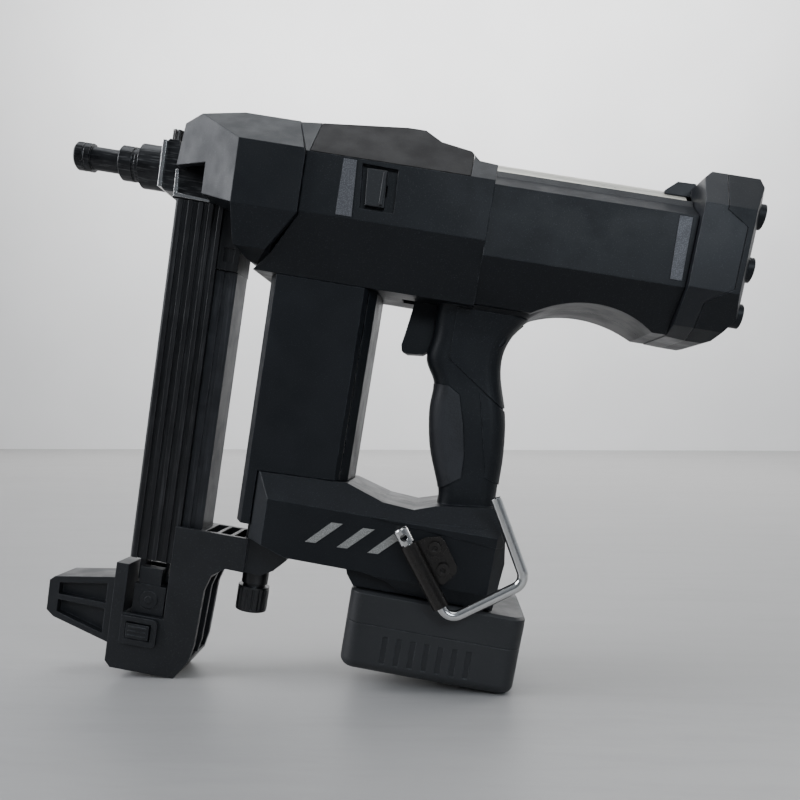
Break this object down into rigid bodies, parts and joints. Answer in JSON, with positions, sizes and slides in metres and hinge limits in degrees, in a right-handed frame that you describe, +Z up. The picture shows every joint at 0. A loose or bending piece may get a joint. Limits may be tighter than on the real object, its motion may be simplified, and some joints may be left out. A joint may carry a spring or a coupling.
{
  "type": "cordless pin nailer",
  "caption": "Cordless gas-spring nailer for concrete and steel pins, with a straight magazine, a motor column, a pistol grip, a rafter hook and a slide-on battery.",
  "frame": {"origin": "centre of the bounding box in X and Y, on the floor that the tool stands on", "axes": "+Z up, -X towards the muzzle, -Y the tool's left side; the drive axis leans back 9.6 degrees, nose up, as the tool rests on its magazine foot and battery"},
  "size_m": [0.4099, 0.1037, 0.3247],
  "materials": {
    "housing_black": "satin, finely textured",
    "cover_brown_grey": "matte",
    "ring_black": "satin",
    "strip_grey": "speckled, matte",
    "stripe_pale": "matte",
    "magazine_black": "black anodised",
    "rail_grey": "satin",
    "foot_black": "satin",
    "knob_black": "knurled, satin",
    "rubber_black": "soft touch",
    "nose_steel": "black oxide",
    "bright_steel": "polished",
    "gunmetal": "blackened",
    "pale_aluminium": "satin",
    "tool_steel": "ground",
    "cast_aluminium": "cast",
    "switch_plastic": "matte",
    "pack_plastic": "satin",
    "cell_sleeve": "shrink sleeve"
  },
  "bodies": {
    "tool": {"left_housing": "housing_black", "right_housing": "housing_black", "top_cover": "cover_brown_grey", "front_side_strips": "strip_grey", "rear_side_strips": "strip_grey", "foot_stripes": "stripe_pale", "head_cover": "housing_black", "left_column_half": "housing_black", "right_column_half": "housing_black", "nose_block": "nose_steel", "nose_flange": "bright_steel", "nose_sleeve": "nose_steel", "driver_guide": "nose_steel", "drive_cylinder": "tool_steel", "piston_bumper": "rubber_black", "gas_chamber": "pale_aluminium", "chamber_front_plug": "pale_aluminium", "chamber_rear_plug": "pale_aluminium", "gearbox_case": "cast_aluminium", "motor_can": "tool_steel", "trigger_pin": "gunmetal", "trigger_switch": "switch_plastic", "control_board": "switch_plastic", "housing_screws": "gunmetal", "rubber_grip_insert": "rubber_black", "magazine_extrusion": "magazine_black", "magazine_rear_rail": "rail_grey", "magazine_head_block": "magazine_black", "magazine_foot": "foot_black", "magazine_clamp_boss": "nose_steel", "follower_spring_case": "foot_black", "release_bezel": "foot_black", "support_foot": "foot_black", "rear_ring": "ring_black", "rear_cap": "housing_black", "rear_cap_bolts": "gunmetal", "hook_bracket": "gunmetal", "hook_bracket_screws": "gunmetal", "battery_rail_block": "switch_plastic"},
    "contact": {"workpiece_contact": "nose_steel"},
    "trigger": {"trigger": "housing_black"},
    "follower": {"pin_follower": "foot_black"},
    "follower_release": {"follower_release_button": "foot_black"},
    "slider": {"mode_slider": "foot_black"},
    "hook": {"rafter_hook_rod": "bright_steel", "hook_end_piece": "bright_steel"},
    "clamp_knob": {"magazine_clamp_knob": "knob_black"},
    "depth_screw": {"depth_screw": "gunmetal"},
    "battery": {"battery_upper_case": "pack_plastic", "battery_lower_case": "pack_plastic", "battery_cells": "cell_sleeve"},
    "battery_release": {"battery_release_button": "pack_plastic"},
    "driver": {"drive_piston": "tool_steel", "driver_blade": "tool_steel"},
    "lifter": {"lifter_wheel": "tool_steel"},
    "rotor": {"motor_rotor": "tool_steel"}
  },
  "joints": [
    {"name": "contact_press", "type": "slide", "parent": "tool", "child": "contact", "axis": [0.986, 0, -0.1668], "range_m": [0, 0.017], "stiffness_N_per_m": 400, "springref_m": -0.006},
    {"name": "trigger_pull", "type": "hinge", "parent": "tool", "child": "trigger", "pos_m": [0.02903, 0, 0.23145], "axis": [0, -1, 0], "range_deg": [0, 10], "stiffness_Nm_per_rad": 1, "springref_deg": -5.73},
    {"name": "follower_feed", "type": "slide", "parent": "tool", "child": "follower", "axis": [0.1668, 0, 0.986], "range_m": [0, 0.2]},
    {"name": "follower_release_press", "type": "slide", "parent": "tool", "child": "follower_release", "axis": [0, 1, 0], "range_m": [0, 0.002], "stiffness_N_per_m": 300, "springref_m": -0.002},
    {"name": "mode_slide", "type": "slide", "parent": "tool", "child": "slider", "axis": [0.986, 0, -0.1668], "range_m": [0, 0.0035]},
    {"name": "hook_swivel", "type": "hinge", "parent": "tool", "child": "hook", "pos_m": [0.01563, -0.048, 0.09223], "axis": [0.4616, 0, -0.8871], "range_deg": [0, 180]},
    {"name": "clamp_knob_turn", "type": "hinge", "parent": "tool", "child": "clamp_knob", "pos_m": [-0.08073, 0, 0.05021], "axis": [0.1668, 0, 0.986], "range_deg": [0, 1080]},
    {"name": "depth_screw_turn", "type": "hinge", "parent": "tool", "child": "depth_screw", "pos_m": [-0.11737, -0.004, 0.31807], "axis": [0.1668, 0, 0.986], "range_deg": [-360, 360]},
    {"name": "battery_slide_off", "type": "slide", "parent": "tool", "child": "battery", "axis": [0.986, 0, -0.1668], "range_m": [0, 0.09]},
    {"name": "battery_release_press", "type": "slide", "parent": "battery", "child": "battery_release", "axis": [-0.986, 0, 0.1668], "range_m": [0, 0.002], "stiffness_N_per_m": 300, "springref_m": -0.002},
    {"name": "rotor_spin", "type": "hinge", "parent": "tool", "child": "rotor", "pos_m": [-0.04247, 0, 0.16545], "axis": [0.1668, 0, 0.986], "range_deg": [-5755, 0]},
    {"name": "lifter_turn", "type": "hinge", "parent": "tool", "child": "lifter", "pos_m": [-0.02677, 0, 0.25833], "axis": [0, 1, 0], "range_deg": [-288, 0]},
    {"name": "driver_stroke", "type": "slide", "parent": "tool", "child": "driver", "axis": [0.986, 0, -0.1668], "range_m": [-0.092, 0]}
  ],
  "couplings": [
    {"joint": "lifter_turn", "follows": "rotor_spin", "ratio": 0.05},
    {"joint": "driver_stroke", "follows": "rotor_spin", "m_per_rad": 0.00091514}
  ]
}
